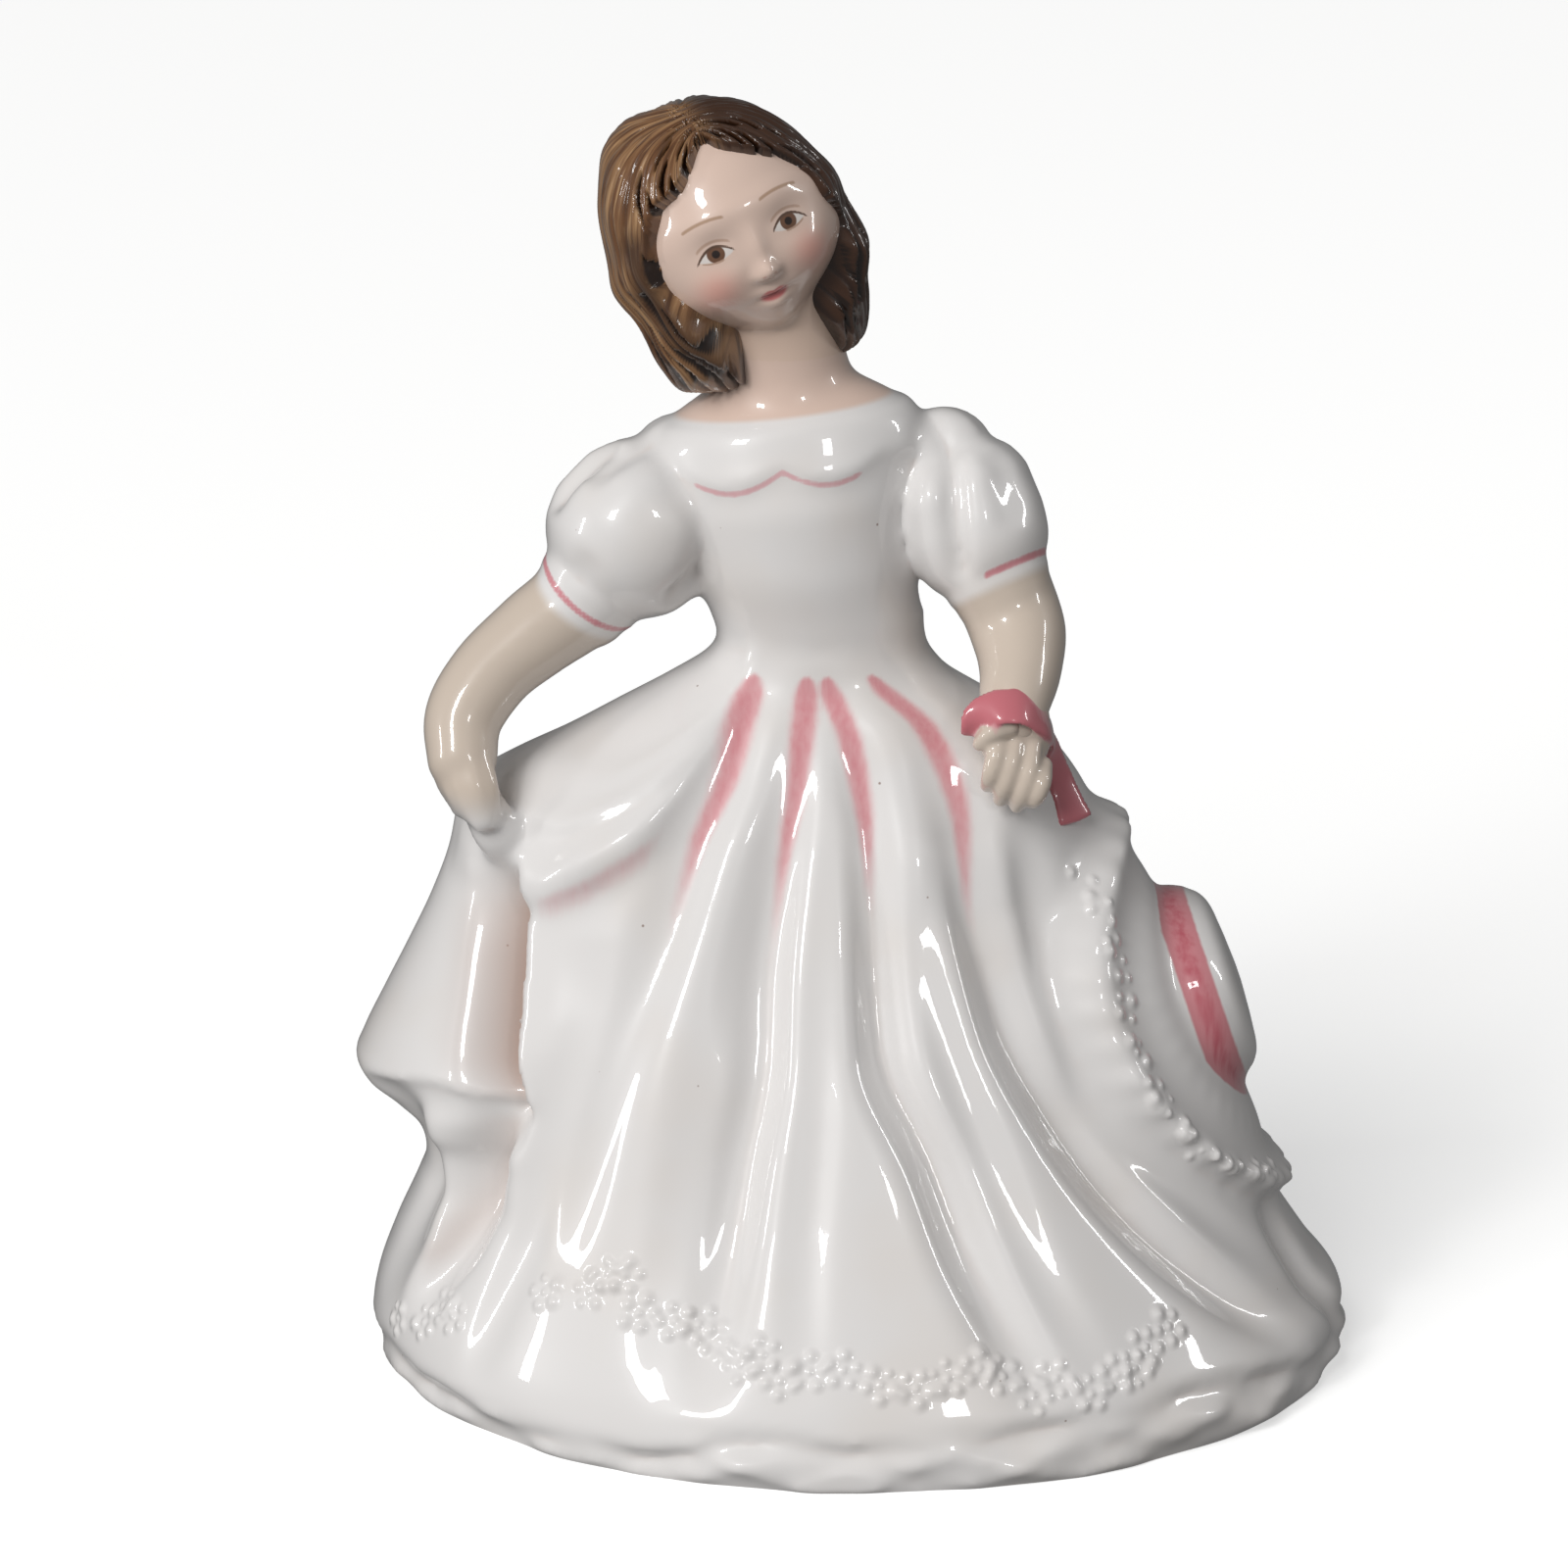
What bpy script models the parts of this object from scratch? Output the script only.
"""Bone china figurine of a girl who lifts her gown with one hand and carries her hat on a ribbon.

The figure is one cast and glazed piece. Every form below is drawn in design units, which are millimetres
when the figure is DESIGN_HEIGHT tall, and the finished piece is scaled to FIGURE_HEIGHT.
+Z is up, the girl faces -Y, and her own right hand is on the -X side. Angles on the gown run round Z from +X.
"""

import math

import bmesh
import bpy
import numpy as np

# Size of the whole figure, floor to the top of the hair, in metres.
FIGURE_HEIGHT = 0.133
DESIGN_HEIGHT = 133.0

# Separate details, in design units.
COLLAR_THICKNESS = 0.75
CROWN_RADIUS = 10.8
CROWN_HEIGHT = 4.4
BAND_THICKNESS = 0.35
BAND_WIDTH = 2.3
RIBBON_WIDTH = 3.0
RIBBON_THICKNESS = 1.1

# How finely the cast is worked: spacing of the drawn points, cell of the fused skin, and final facets.
POINT_SPACING = 0.8
FUSE_CELL = 0.6
FACETS = 9600

# Glaze: rounds and share of the filling of creases, and rounds of easing; the face is kept crisp.
FILL_ROUNDS = 60
FILL_SHARE = 0.8
EASE_ROUNDS = 6
FACE_FRONT = np.array([0.0, 8.0, -2.0])
FACE_KEPT_RADIUS = 11.0

CHINA_WHITE = (0.86, 0.84, 0.83, 1.0)


def hermite(x, y, slope):
    """The cubic curve through (x, y) with the given slopes, as a function of whole arrays."""

    def value(at):
        at = np.clip(np.asarray(at, float), x[0], x[-1])
        i = np.clip(np.searchsorted(x, at, side="right") - 1, 0, len(x) - 2)
        span = x[i + 1] - x[i]
        t = (at - x[i]) / span
        ends = y[i] * (1 + 2 * t) * (1 - t) ** 2 + y[i + 1] * t**2 * (3 - 2 * t)
        return ends + span * (slope[i] * t * (1 - t) ** 2 - slope[i + 1] * t**2 * (1 - t))

    return value


def profile(*points):
    """A curve through (x, y) points that never overshoots them."""
    x, y = np.array(points, float).T
    steps = np.diff(y) / np.diff(x)
    slope = np.zeros(len(x))
    same = steps[:-1] * steps[1:] > 0
    both = np.where(same, steps[:-1] + steps[1:], 1.0)
    slope[1:-1] = np.where(same, 2 * steps[:-1] * steps[1:] / both, 0.0)
    slope[0], slope[-1] = steps[0], steps[-1]
    return hermite(x, y, slope)


def route(points, count):
    """Evenly spaced points on a smooth curve through a few points in space."""
    points = np.array(points, float)
    run = np.concatenate([[0], np.cumsum(np.linalg.norm(np.diff(points, axis=0), axis=1))])
    at = np.linspace(0, run[-1], count)
    columns = [hermite(run, c, np.gradient(c, run))(at) for c in points.T]
    return np.stack(columns, axis=1), at / run[-1]


def step(x):
    """Rises smoothly from 0 to 1 as x goes from 0 to 1."""
    t = np.clip(x, 0, 1)
    return t * t * (3 - 2 * t)


def bell(x):
    return np.exp(-x * x)


def turn_from(angle, middle):
    """Signed difference of two angles in degrees, within half a turn."""
    return (angle - middle + 180) % 360 - 180


def unit(v):
    v = np.asarray(v, float)
    return v / np.linalg.norm(v)


class Forms:
    """The closed surfaces that make up the figure, collected before they are fused into one."""

    def __init__(self):
        self.points, self.faces, self.count = [], [], 0

    def add_rings(self, rings):
        """A closed surface through rings of points, shut at both ends by a fan to the middle."""
        n, m, _ = rings.shape
        tips = np.stack([rings[0].mean(axis=0), rings[-1].mean(axis=0)])
        self.points.append(np.concatenate([rings.reshape(-1, 3), tips]))
        i, j = np.meshgrid(np.arange(n - 1), np.arange(m), indexing="ij")
        k = (j + 1) % m
        quads = np.stack([i * m + j, i * m + k, (i + 1) * m + k, (i + 1) * m + j], axis=-1).reshape(-1, 4)
        j = np.arange(m)
        k = (j + 1) % m
        low = np.stack([np.full(m, n * m), k, j], axis=1)
        high = np.stack([np.full(m, n * m + 1), (n - 1) * m + j, (n - 1) * m + k], axis=1)
        self.faces += (quads + self.count).tolist()
        self.faces += (np.concatenate([low, high]) + self.count).tolist()
        self.count += n * m + 2

    def add_tube(self, points, wide, deep=None, out=(0, -1, 0), roll=None):
        """A rounded limb along a route: wide and deep are its half sizes along the way, out its deep side."""
        length = np.linalg.norm(np.diff(np.array(points, float), axis=0), axis=1).sum()
        count = max(8, round(length / POINT_SPACING))
        middle, share = route(points, count)
        along = np.gradient(middle, axis=0)
        along /= np.linalg.norm(along, axis=1)[:, None]
        side = np.cross(along, np.asarray(out, float))
        side /= np.linalg.norm(side, axis=1)[:, None]
        depth = np.cross(side, along)
        half_wide = profile(*wide)(share)
        half_deep = profile(*(deep or wide))(share)
        m = max(10, round(2 * math.pi * half_wide.max() / POINT_SPACING))
        turn = np.linspace(0, 2 * math.pi, m, endpoint=False)
        if roll is not None:
            bump = roll(turn[None, :], share[:, None])
        else:
            bump = np.zeros((count, m))
        ring = (
            middle[:, None]
            + side[:, None] * ((half_wide[:, None] + bump) * np.cos(turn))[..., None]
            + depth[:, None] * ((half_deep[:, None] + bump) * np.sin(turn))[..., None]
        )
        caps = []
        for end, way in ((0, -1), (-1, 1)):
            tilt = np.linspace(0.25, 1.4, 5)
            reach = min(half_wide[end], half_deep[end]) * np.sin(tilt)
            shrink = np.cos(tilt)
            flat = ring[end] - middle[end]
            caps.append(middle[end] + flat[None] * shrink[:, None, None] + way * along[end] * reach[:, None, None])
        self.add_rings(np.concatenate([caps[0][::-1], ring, caps[1]]))

    def add_ball(self, place, radius_of, around=None):
        """A star-shaped form: radius_of gives the distance from place in each direction."""
        size = 12.0 if around is None else around
        n = max(8, round(math.pi * size / POINT_SPACING))
        m = 2 * n
        polar = (np.arange(n) + 0.5) / n * math.pi
        turn = np.linspace(0, 2 * math.pi, m, endpoint=False)
        p, t = np.meshgrid(polar, turn, indexing="ij")
        way = np.stack([np.sin(p) * np.cos(t), np.sin(p) * np.sin(t), np.cos(p)], axis=-1)
        self.add_rings(place(way * radius_of(way)[..., None]))


# Gown: reach of the skirt from its own axis, to the girl's left, front, right and back, by height.
LEFT_REACH = profile(
    (-3, 48), (0, 50), (1, 51), (3, 51.6), (6, 51.2), (10, 48.5), (20, 42.5), (30, 37.5), (40, 33.5), (50, 30),
    (60, 26.8), (66, 23), (70, 18.2), (74, 12.4), (77, 10.6), (80, 10.4),
)
FRONT_REACH = profile(
    (-3, 41), (0, 42.8), (1, 43.4), (3, 43.4), (6, 42.6), (10, 40.8), (14, 38.6), (24, 33.4), (36, 28), (48, 22.5),
    (58, 18.2), (65, 14.8), (70, 12.4), (74, 9.9), (77, 8.8), (80, 8.6),
)
RIGHT_REACH = profile(
    (-3, 48.5), (0, 49.8), (1, 50.6), (4, 51.4), (7, 50.8), (12.5, 48.6), (18.5, 45.6), (21.5, 44.4), (25, 45.0),
    (27.8, 47.6), (30.2, 50.4), (32, 51.2), (34, 50.4), (39, 47.7), (44, 44.9), (49.5, 42.0), (54.8, 39.8),
    (58, 39.0), (60.5, 38.4), (62.5, 36.2), (64.5, 32.6), (67, 27.2), (70, 21.5), (73, 15.8), (75.3, 12), (77, 10.6),
    (80, 10.4),
)
RIGHT_BACK_REACH = profile(
    (-3, 48.5), (0, 49.8), (1, 50.6), (4, 51.4), (7, 50.4), (14, 47), (20, 44.5), (30, 40), (40, 35.5), (50, 30.5),
    (58, 25.5), (63, 21.5), (66, 18.5), (70, 15), (74, 11.8), (77, 10.6), (80, 10.4),
)
BACK_REACH = profile(
    (-3, 38), (0, 39.8), (1, 40.6), (3, 41.2), (6, 40.6), (14, 37.6), (24, 34.6), (36, 31), (48, 26.6), (58, 22),
    (65, 17.8), (70, 14), (74, 10.4), (77, 8.8), (80, 8.6),
)
WAIST_HEIGHT = 76.5
BASE_MIDDLE = 1.0
WAIST_MIDDLE = -3.2
LIFT_BACK_SPREAD = 24.0
HEM_HEIGHT = 4.6
HEM_STEP = 0.8

# Swag of cloth between the right hand and the waist: its rolled lower edge, how far that stands out, its folds.
SWAG_EDGE = profile(
    (184, 55.6), (194.5, 54.9), (205, 54.2), (210.6, 55.8), (216.2, 58.2), (221.5, 61.2), (223.5, 65.1), (226, 70.5),
    (229, 74), (236, 78),
)
SWAG_OUT = profile((184, 0), (194, 1.4), (203, 2.8), (212, 3.2), (219, 2.6), (223, 1.7), (226, 0.9), (230, 0))
SWAG_LIP = profile(
    (-2.2, 0), (-0.6, 0.75), (1.4, 1), (3.6, 0.8), (5.4, 0.62), (7.4, 0.72), (10, 0.42), (12.5, 0.46), (16, 0.1), (18, 0),
)

# Folds: path of each valley as (height, angle), its depth by height, its half width to either side.
VALLEYS = (
    # Deep hollow between the hanging corner and the front of the gown.
    (((30, 217), (36.3, 213.5), (41.7, 211.2), (47.2, 208), (51.7, 205), (58, 201)),
     ((31.5, 0), (34, 2.6), (38, 4.4), (46, 5.0), (50, 4.2), (53, 2.2), (56, 0)), 3.6, 1.6),
    # Curl of the under skirt below it.
    (((10, 203), (14.1, 204.5), (16.6, 206.7), (25, 208.1), (31, 210.2)),
     ((9, 0), (14, 2.0), (22, 3.2), (28, 2.6), (32, 0)), 2.4, 2.8),
    (((10, 199), (13.9, 199.7), (18.9, 199.4), (22.7, 198), (29.6, 203)), ((8, 0), (14, -0.9), (22, -1.3), (30, 0)), 2.4, 2.4),
    (((6, 216), (20, 219), (34, 220)), ((5, 0), (10, 0.8), (20, 1.1), (30, 0.5), (36, 0)), 2.2, 3.0),
    # Front of the gown, from its right to its left.
    (((14, 222), (37.2, 225), (44.7, 226), (51.3, 227.1), (58.8, 228.1), (66.1, 230.7), (74, 230)),
     ((16, 0), (26, 0.7), (44, 1.0), (58, 1.5), (68, 1.3), (73, 0.8), (76, 0)), 2.2, 2.6),
    (((8, 242), (19, 240), (34, 241), (50, 243), (62, 245)),
     ((6, 0), (14, 0.7), (30, 0.9), (44, 0.6), (60, 0)), 3.2, 3.2),
    (((6, 248), (19.9, 248.4), (29, 249.3), (38.2, 251.3), (47.2, 250.4), (56.4, 252.2), (65.4, 256.4), (74, 259.3)),
     ((7, 0), (14, 1.8), (24, 3.0), (40, 3.2), (52, 2.6), (64, 1.6), (72, 0.9), (76, 0)), 3.4, 2.8),
    (((6, 262), (20, 262), (34, 264), (50, 266), (66, 271)),
     ((8, 0), (16, 0.4), (34, 0.7), (50, 0.5), (64, 0.3), (70, 0)), 1.8, 1.8),
    (((6, 296), (12.7, 293.7), (19.9, 290.5), (29, 287.1), (40, 279.8), (54.5, 281.9), (62.7, 283.5), (69.1, 281.7),
      (74.4, 272.7)),
     ((7, 0), (14, 2.0), (24, 3.0), (40, 3.0), (54, 2.4), (64, 1.8), (72, 1.0), (76, 0)), 2.8, 2.8),
    (((10, 304), (20, 300), (30, 297), (44, 293), (58, 297)), ((9, 0), (18, 0.8), (36, 1.0), (50, 0.5), (58, 0)), 2.2, 2.2),
    (((7, 336), (12.2, 329.9), (20.3, 322.2), (30.8, 314.9), (41.6, 310.2), (51.9, 310.3), (56.6, 311.8), (63.9, 315),
      (70.3, 314.4), (75, 300.6)),
     ((6, 0), (12, 2.2), (24, 3.4), (40, 3.2), (52, 2.4), (64, 1.6), (72, 1.0), (76, 0)), 3.2, 3.0),
    # Ridge that the left hand rests on.
    (((54, 318), (62, 321), (70, 316)), ((52, 0), (60, -1.6), (68, -1.8), (74, 0)), 4.0, 4.0),
    (((10, 345), (20, 334), (33.8, 321.8), (45.3, 323.1), (52.8, 325.5), (59.6, 325.3), (64, 326)),
     ((12, 0), (20, 1.0), (34, 1.8), (50, 2.0), (58, 1.4), (63, 0)), 2.4, 2.2),
    (((4, 352), (10, 349), (18, 350)), ((3, 0.6), (8, 2.4), (14, 2.0), (19, 0)), 2.6, 2.2),
    # Sides and back.
    (((6, 18), (40, 20), (76, 24)), ((5, 0), (12, 2.2), (40, 1.6), (66, 0.8), (76, 0)), 4.2, 4.2),
    (((6, 44), (40, 46), (76, 50)), ((5, 0), (12, 1.6), (40, 2.4), (66, 1.0), (76, 0)), 3.6, 3.6),
    (((6, 70), (40, 68), (76, 72)), ((5, 0), (12, 2.4), (40, 2.2), (66, 1.0), (76, 0)), 3.8, 3.8),
    (((6, 93), (40, 92), (76, 90)), ((5, 0), (12, 1.8), (40, 2.6), (66, 1.1), (76, 0)), 3.4, 3.4),
    (((6, 118), (40, 116), (76, 112)), ((5, 0), (12, 2.4), (40, 2.0), (66, 1.0), (76, 0)), 3.8, 3.8),
    (((6, 142), (40, 140), (76, 134)), ((5, 0), (12, 1.8), (40, 2.6), (66, 1.0), (76, 0)), 3.8, 3.8),
    (((6, 166), (30, 164), (60, 160)), ((5, 0), (12, 2.0), (30, 2.6), (50, 1.8), (64, 0)), 3.6, 3.6),
)

# Hat: its middle on the left side of the gown and the way it faces. The brim lies on the gown in relief.
HAT_MIDDLE = np.array([35.5, -1.0, 38.2])
HAT_FACE = unit((0.945, 0.03, 0.325))
HAT_SIDE = unit(np.cross(HAT_FACE, (0.325, 0, -0.945)))
HAT_DOWN = unit(np.cross(HAT_SIDE, HAT_FACE))
BRIM_REACH = 23.2
BRIM_WIDTH = 20.5
BRIM_OUT = 3.5
BRIM_SCALLOPS = 36


def gown_middle(z):
    return BASE_MIDDLE + (WAIST_MIDDLE - BASE_MIDDLE) * np.clip(z / WAIST_HEIGHT, 0, 1)


def brim_relief(point):
    """How far the hat's brim stands out of the gown at a point: a dished disc with a scalloped edge."""
    offset = point - HAT_MIDDLE
    down, side = offset @ HAT_DOWN, offset @ HAT_SIDE
    turn = np.arctan2(side / BRIM_WIDTH, down / BRIM_REACH)
    scallop = np.cos(BRIM_SCALLOPS * turn)
    share = np.hypot(down / BRIM_REACH, side / BRIM_WIDTH) - 0.008 * scallop
    dish = 0.6 + 0.4 * step((share - 0.55) / 0.42) + 0.05 * scallop * step((share - 0.8) / 0.15)
    sink = (1 - 0.4 * step(-side / BRIM_WIDTH)) * (1 - 0.35 * step((down / BRIM_REACH - 0.35) / 0.6))
    return BRIM_OUT * sink * dish * step((1.04 - share) / 0.09) * (offset @ HAT_FACE > -24)


def gown_reach(angle, z):
    """Reach of the skirt: an oval through four outlines, less the folds, plus the swag and the hat's brim."""
    angle = angle % 360
    c, s = np.cos(np.radians(angle)), np.sin(np.radians(angle))
    back = RIGHT_BACK_REACH(z)
    right = np.where(angle > 180, RIGHT_REACH(z), back + (RIGHT_REACH(z) - back) * bell((180 - angle) / LIFT_BACK_SPREAD))
    across = np.where(c > 0, LEFT_REACH(z), right)
    deep = np.where(s < 0, FRONT_REACH(z), BACK_REACH(z))
    oval = 1 / np.sqrt((c / across) ** 2 + (s / deep) ** 2)
    reach = oval
    for path, depth, low_side, high_side in VALLEYS:
        away = turn_from(angle, profile(*path)(z)) * math.pi / 180 * oval
        reach = reach - profile(*depth)(z) * bell(away / np.where(away < 0, low_side, high_side))
    swag = np.where((angle > 186) & (angle < 230), SWAG_OUT(angle), 0)
    reach = reach + swag * SWAG_LIP(z - SWAG_EDGE(angle))
    wave = 0.5 * np.sin(np.radians(7 * angle) + 1) + 0.35 * np.sin(np.radians(13 * angle))
    hem = HEM_HEIGHT + 0.8 * wave
    reach = reach - HEM_STEP * bell((z - hem + 1.1) / 0.9) + 0.5 * wave * step((hem - z) / 2.0)
    point = np.stack([gown_middle(z) + oval * c, oval * s, z + 0 * angle], axis=-1)
    return reach + brim_relief(point)


def add_gown(forms):
    z = np.arange(-3, 80, POINT_SPACING / 2)
    angle = np.linspace(0, 360, round(2 * math.pi * 40 / POINT_SPACING), endpoint=False)
    a, h = np.meshgrid(angle, z)
    reach = gown_reach(a, h)
    turn = np.radians(a)
    forms.add_rings(np.stack([gown_middle(h) + reach * np.cos(turn), reach * np.sin(turn), h], axis=-1))


# Bodice: half width and half depth by height, leaning with the body and tilted at the shoulders.
BODICE_WIDE = profile(
    (68, 9), (74, 10.8), (76.5, 10.6), (80, 10.9), (85, 11.5), (90, 12.2), (94, 13.0), (96.5, 13.5), (98.9, 13.1),
    (101.2, 11.4), (102.8, 9.0), (104.2, 6.8), (105.5, 5.8),
)
BODICE_DEEP = profile(
    (68, 8), (74, 8.9), (76.5, 8.7), (80, 9.2), (86, 10.2), (91, 10.2), (95, 9.4), (98, 8.3), (100, 7.6),
    (101.5, 6.9), (103, 6.1), (105.5, 5.2),
)
BODICE_MIDDLE = profile((68, -2.9), (76.5, -3.2), (84, -5), (92, -6.4), (98, -6.9), (106, -7.4))
SHOULDER_TILT = 0.11
COLLAR_LOBES = 6
COLLAR_CUSP = -93.0
COLLAR_CUSP_HEIGHT = 96.7
COLLAR_LOBE_DROP = 1.8


def collar_edge(angle):
    """Height of the collar's scalloped edge: rounded lobes that meet at cusps."""
    return COLLAR_CUSP_HEIGHT - COLLAR_LOBE_DROP * np.abs(np.sin(np.radians(angle - COLLAR_CUSP) * COLLAR_LOBES / 2))


def add_bodice(forms):
    z = np.arange(68, 105.5, POINT_SPACING / 2)
    angle = np.linspace(0, 360, round(2 * math.pi * 13 / POINT_SPACING), endpoint=False)
    a, h = np.meshgrid(angle, z)
    turn = np.radians(a)
    wide, deep = BODICE_WIDE(h), BODICE_DEEP(h)
    collar = COLLAR_THICKNESS * step((h - collar_edge(a)) / 0.6) * step((101.4 - h) / 0.8)
    reach = 1 / np.sqrt((np.cos(turn) / wide) ** 2 + (np.sin(turn) / deep) ** 2) + collar
    x = reach * np.cos(turn)
    tilt = SHOULDER_TILT * x * step((h - 84) / 12)
    forms.add_rings(np.stack([BODICE_MIDDLE(h) + x, reach * np.sin(turn), h + tilt], axis=-1))


def add_sleeve(forms, cuff, shoulder, radii, pleats, phase):
    """A puffed sleeve: gathered at the shoulder and into its cuff, with soft pleats between."""

    def gathers(turn, share):
        return pleats * np.cos(5 * turn + phase + 1.2 * np.sin(2 * turn)) * (0.35 + 0.65 * np.abs(2 * share - 1))

    forms.add_tube([cuff, 0.5 * (np.array(cuff) + shoulder), shoulder], radii, roll=gathers)


def add_sleeves(forms):
    puff = ((0, 5.4), (0.04, 5.7), (0.08, 5.4), (0.13, 6.2), (0.3, 8.3), (0.5, 9.0), (0.7, 8.7), (0.88, 7.3), (1, 5.6))
    add_sleeve(forms, (-27.6, -2.2, 81.6), (-17.4, 0.6, 94.6), puff, 0.45, 0.6)
    slim = ((0, 5.2), (0.04, 5.5), (0.08, 5.2), (0.13, 5.8), (0.3, 7.0), (0.5, 7.4), (0.7, 7.4), (0.88, 6.6), (1, 5.2))
    add_sleeve(forms, (15.0, -3.4, 83.0), (9.2, 0.8, 95.6), slim, 0.4, 2.2)


def add_arms(forms):
    forms.add_tube(
        [(-23.5, -0.6, 86), (-27.8, -2.0, 81.4), (-32.8, -3.6, 77.9), (-37.2, -5.2, 74.2), (-39.9, -7.2, 69.8),
         (-39.6, -9.2, 65.8)],
        ((0, 4.8), (0.2, 5.0), (0.4, 4.7), (0.6, 4.3), (0.8, 4.1), (1, 3.5)),
    )
    forms.add_tube(
        [(13.5, -0.8, 88), (15.3, -2.6, 82.6), (16.8, -5.2, 78.6), (16.9, -8.4, 75.6), (16.3, -11.2, 73.0),
         (16.1, -12.4, 71.0)],
        ((0, 5.0), (0.3, 5.0), (0.5, 4.9), (0.7, 4.3), (0.9, 3.7), (1, 3.4)),
    )


def add_hands(forms):
    # Right hand, on the -X side: it hangs from the wrist and pinches the gown.
    forms.add_tube(
        [(-39.6, -9.0, 66.6), (-38.9, -10.4, 63.8), (-38.0, -11.4, 61.6)],
        ((0, 3.6), (0.5, 3.5), (1, 2.6)),
        ((0, 3.0), (0.5, 2.6), (1, 2.0)),
        out=(-0.3, -0.95, 0),
    )
    for i in range(4):
        across = i - 1.5
        knuckle = np.array([-38.3 + 1.35 * across, -12.0 - 0.25 * across, 63.4 + 0.3 * across])
        tip = np.array([-37.0 + 1.05 * across, -12.6 - 0.1 * across, 59.6 - 0.15 * across])
        forms.add_tube([knuckle, 0.5 * (knuckle + tip) + (-0.3, -0.6, 0), tip], ((0, 1.2), (0.6, 1.1), (1, 0.8)))
    # Left hand, on the +X side: a loose fist in front of the gown, with the thumb inwards.
    forms.add_tube(
        [(16.3, -11.6, 71.6), (16.4, -12.0, 69.2), (16.3, -11.8, 66.4)],
        ((0, 3.7), (0.5, 3.9), (1, 3.1)),
        ((0, 3.2), (0.5, 3.2), (1, 2.6)),
    )
    fingers = (
        ((14.5, 71.0), (13.0, 66.4)),
        ((16.2, 70.5), (14.5, 64.0)),
        ((17.7, 69.2), (16.4, 63.4)),
        ((18.9, 67.6), (18.1, 64.2)),
    )
    for (x0, z0), (x1, z1) in fingers:
        middle = (0.5 * (x0 + x1) + 0.1, -16.2, 0.5 * (z0 + z1) + 0.2)
        forms.add_tube([(x0, -14.4, z0), middle, (x1, -14.8, z1)], ((0, 1.2), (0.5, 1.3), (1, 0.95)))
    forms.add_tube([(14.6, -13.6, 70.4), (13.0, -14.8, 70.0), (11.6, -15.0, 70.3)], ((0, 1.4), (0.6, 1.2), (1, 0.95)))


def hat_place(down, side, out):
    return HAT_MIDDLE + down[..., None] * HAT_DOWN + side[..., None] * HAT_SIDE + out[..., None] * HAT_FACE


def add_crown(forms):
    """The hat's crown: a low drum that narrows to a slightly domed top, with its band as a step round the foot."""
    turn = np.linspace(0, 2 * math.pi, round(2 * math.pi * CROWN_RADIUS / POINT_SPACING), endpoint=False)
    foot = BAND_WIDTH / CROWN_HEIGHT
    wall = profile((-3, 1.0), (0, 1.0), (foot, 0.95), (0.8, 0.85), (0.95, 0.74), (1.0, 0.66))
    rise = np.concatenate([np.linspace(-2.0, 1.0, 30), [1.05, 1.08]])
    radius = np.concatenate([CROWN_RADIUS * wall(rise[:30]), [CROWN_RADIUS * 0.4, CROWN_RADIUS * 0.1]])
    radius = radius + BAND_THICKNESS * (rise < foot)
    r, t = np.meshgrid(radius, turn, indexing="ij")
    o = np.broadcast_to((rise * CROWN_HEIGHT)[:, None], r.shape)
    forms.add_rings(hat_place(r * np.cos(t), r * np.sin(t), o))


def add_ribbon(forms):
    """The hat's ribbon: a loop over the wrist and a tail that runs down to the brim."""
    half_wide = RIBBON_WIDTH / 2
    half_thick = RIBBON_THICKNESS / 2
    forms.add_tube(
        [(11.8, -14.0, 71.0), (12.6, -14.9, 73.6), (14.7, -14.9, 75.2), (17.2, -14.0, 75.0), (18.9, -12.4, 73.3),
         (19.6, -10.8, 70.4), (20.2, -9.4, 67.6), (21.4, -8.3, 64.2), (22.6, -7.8, 60.8), (23.0, -8.2, 59.0)],
        ((0, 0.7 * half_wide), (0.12, half_wide), (0.4, half_wide), (0.6, 0.7 * half_wide), (1, 1.2 * half_wide)),
        ((0, half_thick), (1, half_thick)),
        out=(0.1, -0.85, 0.5),
    )


# Head: middle of the skull, its lean to her right, its turn to her left, and its upward tilt, in degrees.
HEAD_MIDDLE = np.array([-12.6, -1.6, 120.8])
HEAD_LEAN = -23.0
HEAD_TURN = 12.0
HEAD_TILT = 6.0


def head_axes():
    lean, turn, tilt = (math.radians(v) for v in (HEAD_LEAN, HEAD_TURN, HEAD_TILT))
    front = unit(np.array([math.sin(turn), -math.cos(turn) * math.cos(tilt), math.sin(tilt)]))
    side = np.array([math.cos(lean), 0, -math.sin(lean)])
    side = unit(side - front * (side @ front))
    return np.stack([side, front, np.cross(front, side)])


def head_place(local):
    """Skull coordinates (to her left, forward, up) to the figure's own."""
    return HEAD_MIDDLE + local @ head_axes()


# Face: each swelling or hollow as (across, up, spread across, spread up, height), mirrored left to right.
FACE_FORMS = (
    (4.9, -4.8, 3.0, 2.8, 0.7),
    (0.0, -9.9, 2.5, 1.8, 0.9),
    (3.9, -0.9, 2.2, 1.5, -0.85),
    (3.9, -1.1, 1.7, 0.95, 0.55),
    (3.2, 2.4, 3.4, 1.2, 0.3),
    (0.0, -2.2, 0.85, 2.3, 0.9),
    (0.0, -4.4, 0.95, 0.95, 1.45),
    (1.0, -4.9, 0.6, 0.6, 0.45),
    (0.0, -6.75, 1.8, 0.5, 0.5),
    (0.0, -8.1, 1.4, 0.55, 0.5),
    (0.0, -7.4, 2.1, 0.25, -0.3),
)
SKULL_WIDE = 10.4
SKULL_DEEP = 10.4
SKULL_TALL = 11.6


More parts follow.
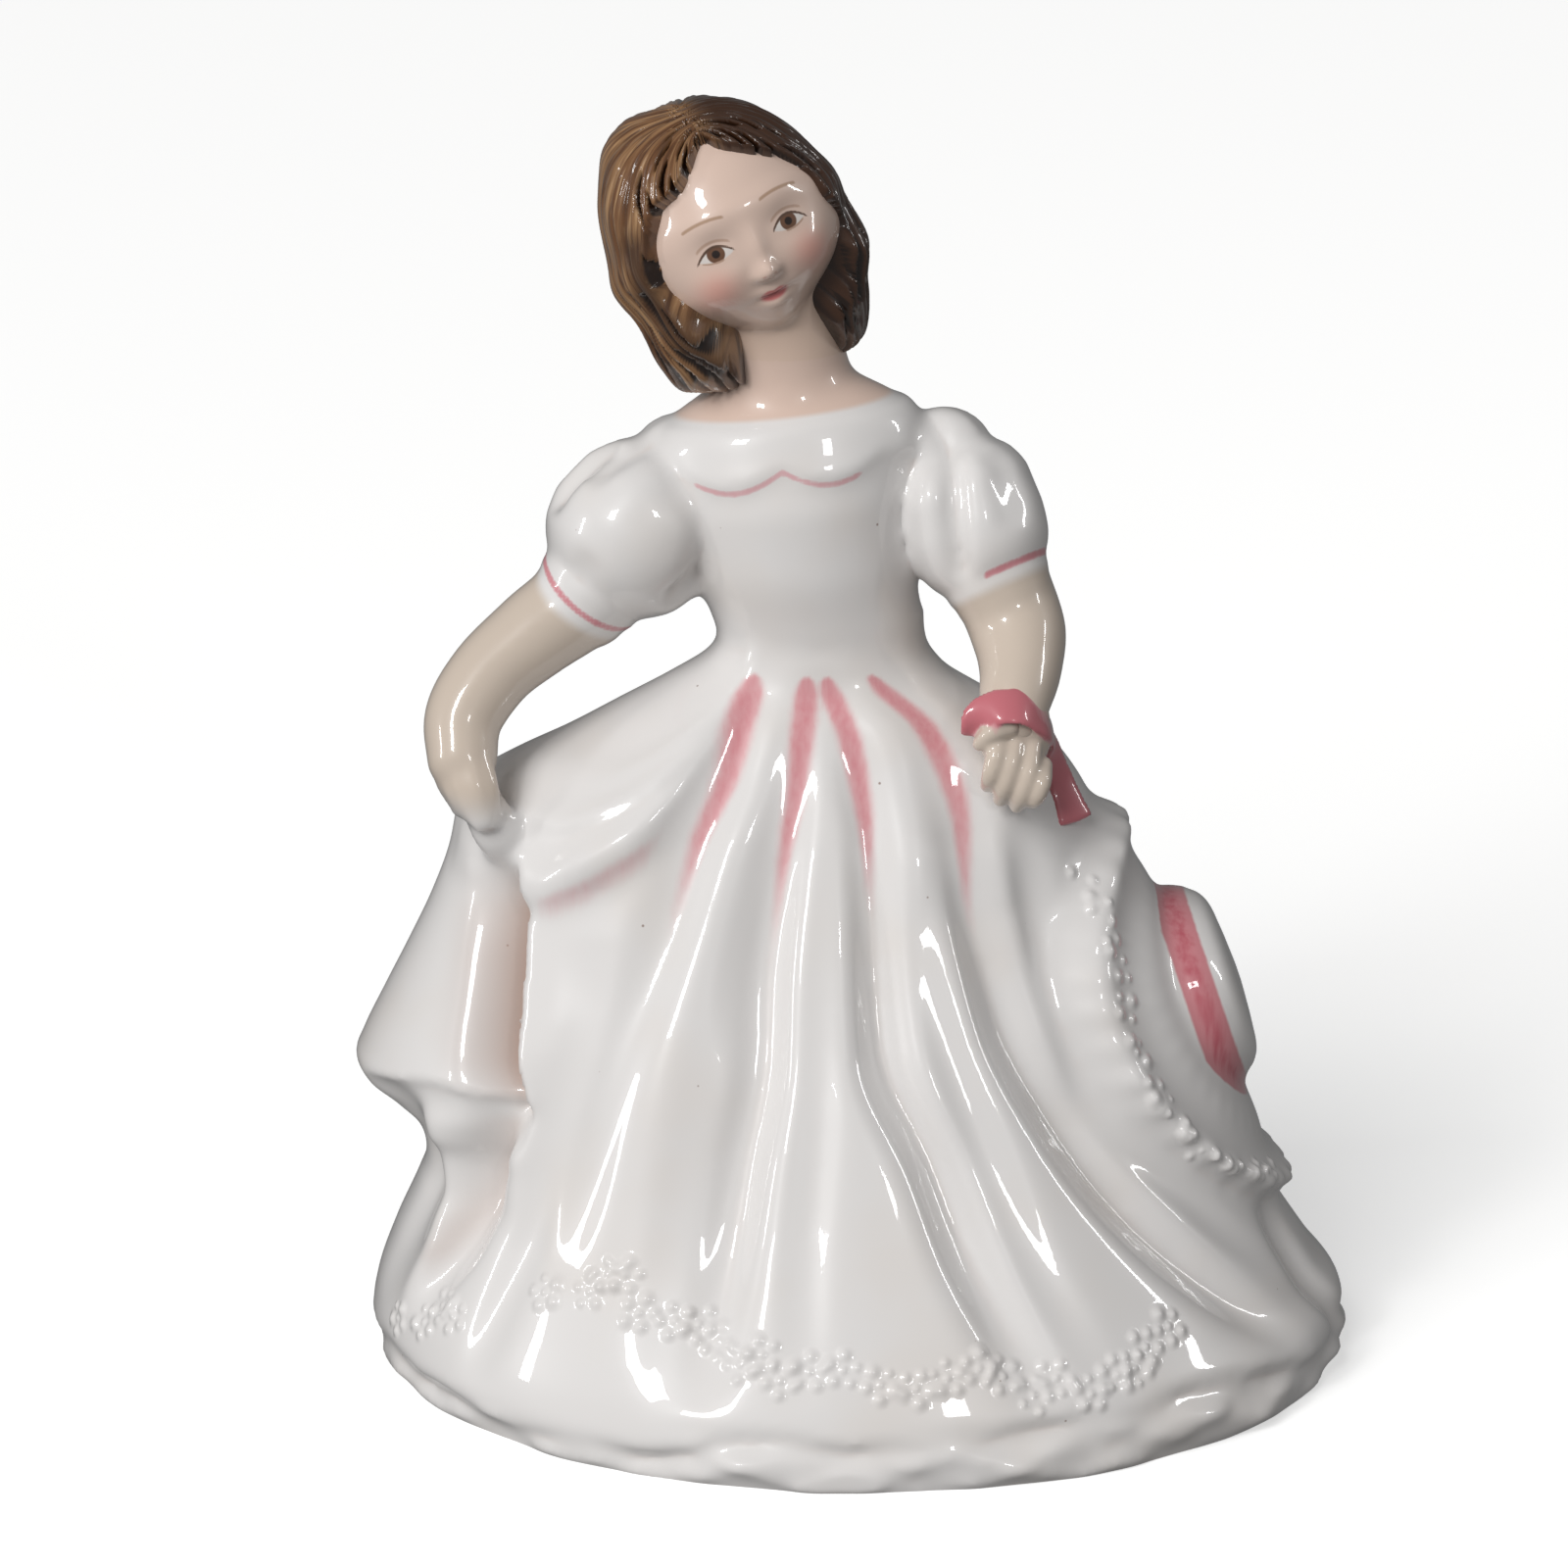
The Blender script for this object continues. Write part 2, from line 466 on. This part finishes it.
def skull_radius(way):
    """Distance from the skull's middle to the skin in each direction."""
    x, y, z = way[..., 0], way[..., 1], way[..., 2]
    jaw = 1 - 0.2 * step((-z - 0.2) / 0.75)
    radius = 1 / np.sqrt((x / (SKULL_WIDE * jaw)) ** 2 + (y / SKULL_DEEP) ** 2 + (z / SKULL_TALL) ** 2)
    across, high = x * radius, z * radius
    front = step((y + 0.05) / 0.4)
    for dx, dz, wide, tall, height in FACE_FORMS:
        for side in ((1, -1) if dx else (1,)):
            radius = radius + front * height * bell((across - side * dx) / wide) * bell((high - dz) / tall)
    return radius


def add_head(forms):
    forms.add_ball(head_place, skull_radius)
    forms.add_tube(
        [(-7.0, 1.2, 97), (-7.2, 0.8, 102), (-8.0, 0.4, 107), (-9.6, -0.2, 113)],
        ((0, 9), (0.2, 8.4), (0.38, 6.8), (0.55, 6.0), (0.8, 5.8), (1, 6)),
    )


# Hair: reach of the bob from the skull's middle to her left, right, back and front, by elevation in degrees.
HAIR_LEFT = profile(
    (-90, 15), (-74, 17.4), (-67, 17.8), (-59, 17.1), (-51, 16.1), (-43, 14.9), (-33, 13.9), (-23, 12.7), (-11, 11.9),
    (3, 11.5), (21, 11.2), (38, 11.4), (66, 12.2), (90, 13.0),
)
HAIR_RIGHT = profile(
    (-90, 16), (-70, 16.8), (-64, 17.4), (-53, 17.6), (-43, 16.2), (-33, 14.9), (-23, 13.9), (-11, 13.3), (10, 12.9),
    (32, 13.4), (53, 14.0), (64, 14.0), (78, 13.4), (90, 13.0),
)
HAIR_BACK = profile((-90, 13), (-60, 15.6), (-45, 15.4), (-25, 13.8), (0, 13.2), (30, 13.4), (60, 13.4), (90, 13.0))
HAIR_FRONT = profile((-90, 13), (0, 11.6), (40, 12.2), (60, 12.6), (90, 13.0))
# The face's opening in the hair, as its top edge across the forehead and its sides, in skull units.
WINDOW_TOP = profile((-12, -6), (-10, 0.5), (-8, 4.4), (-5.5, 5.2), (-3.5, 7.4), (-1.6, 10.4), (1, 9.6), (4, 8.4), (7, 6.0), (9, 2), (11, -6))
WINDOW_LEFT = profile((-20, 7.0), (-14, 7.4), (-10, 8.4), (-6, 9.2), (0, 9.6), (4, 9.6))
WINDOW_RIGHT = profile((-20, 4.0), (-15, 4.6), (-12, 6.4), (-9, 8.2), (-5, 9.4), (0, 9.8), (4, 9.6))
HAIR_LOCKS = 15


def hair_radius(way):
    """Distance from the skull's middle to the hair, falling inside the face at its opening."""
    x, y, z = way[..., 0], way[..., 1], way[..., 2]
    level = np.hypot(x, y) + 1e-9
    elevation = np.degrees(np.arctan2(z, level))
    side = (x / level) ** 2
    reach_side = np.where(x > 0, HAIR_LEFT(elevation), HAIR_RIGHT(elevation))
    reach_deep = np.where(y > 0, HAIR_FRONT(elevation), HAIR_BACK(elevation))
    radius = side * reach_side + (1 - side) * reach_deep
    turn = np.arctan2(x, -y)
    wave = HAIR_LOCKS * turn + 1.6 * np.sin(0.16 * elevation + 2 * np.sin(3 * turn)) + 0.02 * elevation
    radius = radius + 0.35 * np.sin(wave) * step((1 - z) / 0.35)
    curl = np.sin(0.20 * elevation + 3 * turn) * step((0.1 - z) / 0.5)
    radius = radius + 0.3 * curl
    across, high = x * radius, z * radius
    top = step((WINDOW_TOP(across) - high) / 0.9)
    wide = np.where(x > 0, WINDOW_LEFT(high), WINDOW_RIGHT(high))
    open_face = top * step((wide - np.abs(across)) / 0.9) * step((y + 0.05) / 0.2)
    return radius * (1 - 0.5 * open_face)


def add_hair(forms):
    forms.add_ball(head_place, hair_radius, 14.0)


def fused(forms):
    """The forms fused into one closed skin by a voxel remesh."""
    mesh = bpy.data.meshes.new("drawn_forms")
    mesh.from_pydata((np.concatenate(forms.points) * 0.001).tolist(), [], forms.faces)
    figure = bpy.data.objects.new("drawn_forms", mesh)
    bpy.context.scene.collection.objects.link(figure)
    skin = figure.modifiers.new("Fuse", "REMESH")
    skin.mode = "VOXEL"
    skin.voxel_size = FUSE_CELL * 0.001
    whole = bpy.context.evaluated_depsgraph_get()
    mesh = bpy.data.meshes.new_from_object(figure.evaluated_get(whole))
    bpy.data.objects.remove(figure)
    return mesh


def glaze(mesh):
    """Lets the glaze fill the creases: hollows rise along their normals, then the whole skin is eased."""
    count = len(mesh.vertices)
    co = np.empty(count * 3)
    mesh.vertices.foreach_get("co", co)
    co = co.reshape(-1, 3)
    edges = np.empty(len(mesh.edges) * 2, dtype=int)
    mesh.edges.foreach_get("vertices", edges)
    a, b = edges.reshape(-1, 2).T
    near = np.bincount(a, minlength=count) + np.bincount(b, minlength=count)

    def eased(values):
        total = [np.bincount(a, v[b], count) + np.bincount(b, v[a], count) for v in values.T]
        return np.stack(total, axis=1) / near[:, None]

    keep = np.clip(np.linalg.norm(co * 1000 - head_place(FACE_FRONT), axis=1) / FACE_KEPT_RADIUS - 0.6, 0, 1)
    for turn in range(FILL_ROUNDS):
        if turn % 8 == 0:
            mesh.vertices.foreach_set("co", co.ravel())
            mesh.update()
            normal = np.empty(count * 3)
            mesh.vertex_normals.foreach_get("vector", normal)
            normal = normal.reshape(-1, 3)
        rise = np.sum((eased(co) - co) * normal, axis=1)
        co = co + normal * (np.maximum(rise, 0) * FILL_SHARE * keep)[:, None]
    for _ in range(EASE_ROUNDS):
        co = co + 0.5 * (eased(co) - co)
        co = co - 0.52 * (eased(co) - co) * 0.96
    mesh.vertices.foreach_set("co", co.ravel())
    mesh.update()


def reduced(mesh):
    """The skin with no more facets than asked for, in triangles."""
    figure = bpy.data.objects.new("skin", mesh)
    bpy.context.scene.collection.objects.link(figure)
    triangles = sum(len(p.vertices) - 2 for p in mesh.polygons)
    facets = figure.modifiers.new("Facets", "DECIMATE")
    facets.ratio = min(1.0, FACETS / triangles)
    whole = bpy.context.evaluated_depsgraph_get()
    mesh = bpy.data.meshes.new_from_object(figure.evaluated_get(whole))
    bpy.data.objects.remove(figure)
    return mesh


def cut_flat(mesh):
    """Cuts everything below the floor away and closes the underside."""
    shape = bmesh.new()
    shape.from_mesh(mesh)
    around = shape.verts[:] + shape.edges[:] + shape.faces[:]
    cut = bmesh.ops.bisect_plane(shape, geom=around, plane_co=(0, 0, 0), plane_no=(0, 0, -1), clear_outer=True)
    rim = [e for e in cut["geom_cut"] if isinstance(e, bmesh.types.BMEdge)]
    bmesh.ops.contextual_create(shape, geom=rim)
    bmesh.ops.triangulate(shape, faces=shape.faces[:])
    bmesh.ops.recalc_face_normals(shape, faces=shape.faces[:])
    shape.to_mesh(mesh)
    shape.free()


def china():
    glaze = bpy.data.materials.new("glazed_bone_china")
    glaze.use_nodes = True
    shader = glaze.node_tree.nodes["Principled BSDF"]
    shader.inputs["Base Color"].default_value = CHINA_WHITE
    shader.inputs["Roughness"].default_value = 0.08
    return glaze


def build():
    for old in list(bpy.data.objects):
        bpy.data.objects.remove(old)
    forms = Forms()
    add_gown(forms)
    add_bodice(forms)
    add_sleeves(forms)
    add_arms(forms)
    add_hands(forms)
    add_crown(forms)
    add_ribbon(forms)
    add_head(forms)
    add_hair(forms)
    mesh = fused(forms)
    glaze(mesh)
    mesh = reduced(mesh)
    cut_flat(mesh)
    scale = FIGURE_HEIGHT * 1000 / DESIGN_HEIGHT
    mesh.transform(((scale, 0, 0, 0), (0, scale, 0, 0), (0, 0, scale, 0), (0, 0, 0, 1)))
    figurine = bpy.data.objects.new("figurine", mesh)
    bpy.context.scene.collection.objects.link(figurine)
    mesh.shade_smooth()
    mesh.materials.append(china())


build()
